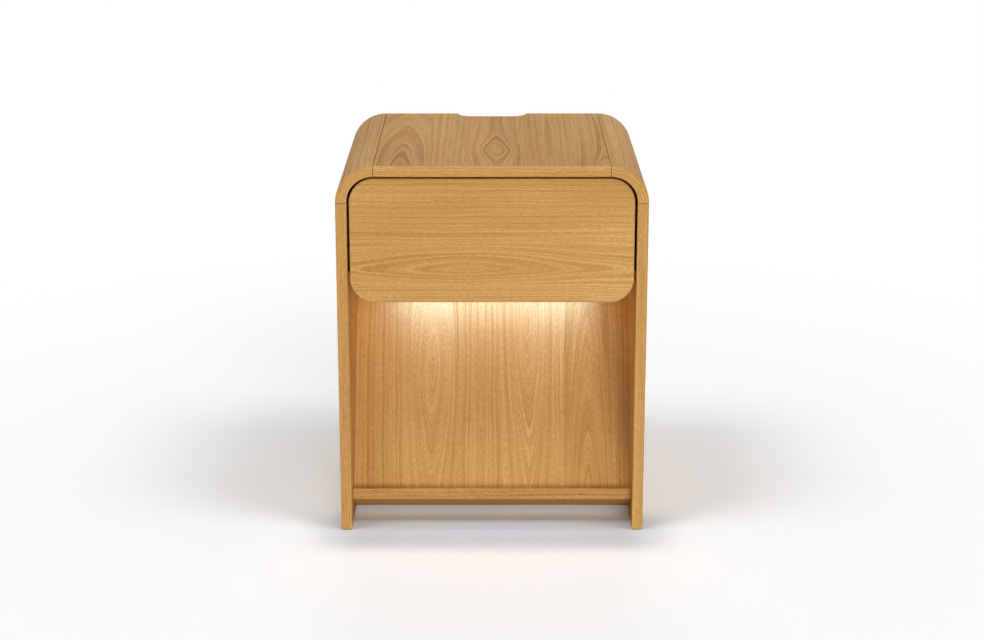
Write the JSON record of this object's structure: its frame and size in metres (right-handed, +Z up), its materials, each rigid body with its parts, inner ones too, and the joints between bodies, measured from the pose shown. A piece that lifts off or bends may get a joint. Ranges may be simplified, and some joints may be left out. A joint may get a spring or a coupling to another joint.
{
  "type": "bedside cabinet",
  "caption": "Arched bedside cabinet with a drawer on telescopic slides, a sloping book rack, a light bar and a cable notch.",
  "frame": {"origin": "on the floor, at the middle of the footprint", "axes": "+Z up, -Y towards the drawer's front, +X to the right as seen from the front"},
  "size_m": [0.45, 0.42, 0.554],
  "materials": {
    "oak_arch": "satin oak veneer",
    "oak_case": "satin oak veneer",
    "oak_rack": "satin oak veneer, grain upright",
    "oak_front": "satin oak veneer, grain across",
    "drawer_board": "clear-sealed pale plywood",
    "drawer_base": "clear-sealed pale plywood",
    "dowel_beech": "plain beech",
    "zinc_steel": "zinc plated",
    "bright_steel": "polished",
    "screw_steel": "zinc plated",
    "cage_plastic": "moulded",
    "soft_plastic": "moulded",
    "light_metal": "satin anodised",
    "opal": "opal, frosted",
    "lens": "frosted",
    "pale_plastic": "fine texture",
    "board_white": "white solder mask",
    "led": "phosphor",
    "dark_plastic": "fine texture",
    "board_green": "green solder mask",
    "plated_steel": "bright plated"
  },
  "bodies": {
    "cabinet": {"top_panel": "oak_arch", "corner_left": "oak_arch", "corner_right": "oak_arch", "side_left": "oak_arch", "side_right": "oak_arch", "case_floor": "oak_case", "back_panel": "oak_case", "rear_rail": "oak_case", "rack_panel": "oak_rack", "rack_ledge": "oak_case", "arch_dowels": "dowel_beech", "case_dowels": "dowel_beech", "floor_glides": "soft_plastic", "slide_outer_left": "zinc_steel", "slide_outer_right": "zinc_steel", "slide_outer_screws": "screw_steel", "slide_bumpers": "soft_plastic", "light_channel": "light_metal", "light_diffuser": "opal", "light_board": "board_white", "light_chips": "led", "light_end_cap": "pale_plastic", "sensor_case": "pale_plastic", "sensor_lens": "lens", "light_screws": "screw_steel", "light_lead": "pale_plastic", "lead_grommet": "soft_plastic", "driver_plate": "dark_plastic", "driver_cover": "dark_plastic", "driver_board": "board_green", "power_inlet": "plated_steel", "driver_screws": "screw_steel"},
    "drawer": {"slide_inner_left": "zinc_steel", "slide_inner_right": "zinc_steel", "slide_inner_screws": "screw_steel", "drawer_front": "oak_front", "drawer_box_front": "drawer_board", "drawer_side_left": "drawer_board", "drawer_side_right": "drawer_board", "drawer_back": "drawer_board", "drawer_bottom": "drawer_base", "drawer_dowels": "dowel_beech", "drawer_front_screws": "screw_steel"},
    "slide_middle_left": {"slide_middle_left": "zinc_steel"},
    "slide_middle_right": {"slide_middle_right": "zinc_steel"},
    "cage_outer_left": {"ball_cage_outer_left": "cage_plastic", "balls_outer_left": "bright_steel"},
    "cage_outer_right": {"ball_cage_outer_right": "cage_plastic", "balls_outer_right": "bright_steel"},
    "cage_inner_left": {"ball_cage_inner_left": "cage_plastic", "balls_inner_left": "bright_steel"},
    "cage_inner_right": {"ball_cage_inner_right": "cage_plastic", "balls_inner_right": "bright_steel"}
  },
  "joints": [
    {"name": "drawer_slide", "type": "slide", "parent": "cabinet", "child": "drawer", "axis": [0, -1, 0], "range_m": [0, 0.34]},
    {"name": "slide_middle_left_slide", "type": "slide", "parent": "cabinet", "child": "slide_middle_left", "axis": [0, -1, 0], "range_m": [0, 0.17]},
    {"name": "slide_middle_right_slide", "type": "slide", "parent": "cabinet", "child": "slide_middle_right", "axis": [0, -1, 0], "range_m": [0, 0.17]},
    {"name": "cage_outer_left_slide", "type": "slide", "parent": "cabinet", "child": "cage_outer_left", "axis": [0, -1, 0], "range_m": [0, 0.085]},
    {"name": "cage_outer_right_slide", "type": "slide", "parent": "cabinet", "child": "cage_outer_right", "axis": [0, -1, 0], "range_m": [0, 0.085]},
    {"name": "cage_inner_left_slide", "type": "slide", "parent": "cabinet", "child": "cage_inner_left", "axis": [0, -1, 0], "range_m": [0, 0.255]},
    {"name": "cage_inner_right_slide", "type": "slide", "parent": "cabinet", "child": "cage_inner_right", "axis": [0, -1, 0], "range_m": [0, 0.255]}
  ],
  "couplings": [
    {"joint": "slide_middle_left_slide", "follows": "drawer_slide", "ratio": 0.5},
    {"joint": "slide_middle_right_slide", "follows": "drawer_slide", "ratio": 0.5},
    {"joint": "cage_outer_left_slide", "follows": "drawer_slide", "ratio": 0.25},
    {"joint": "cage_outer_right_slide", "follows": "drawer_slide", "ratio": 0.25},
    {"joint": "cage_inner_left_slide", "follows": "drawer_slide", "ratio": 0.75},
    {"joint": "cage_inner_right_slide", "follows": "drawer_slide", "ratio": 0.75}
  ]
}
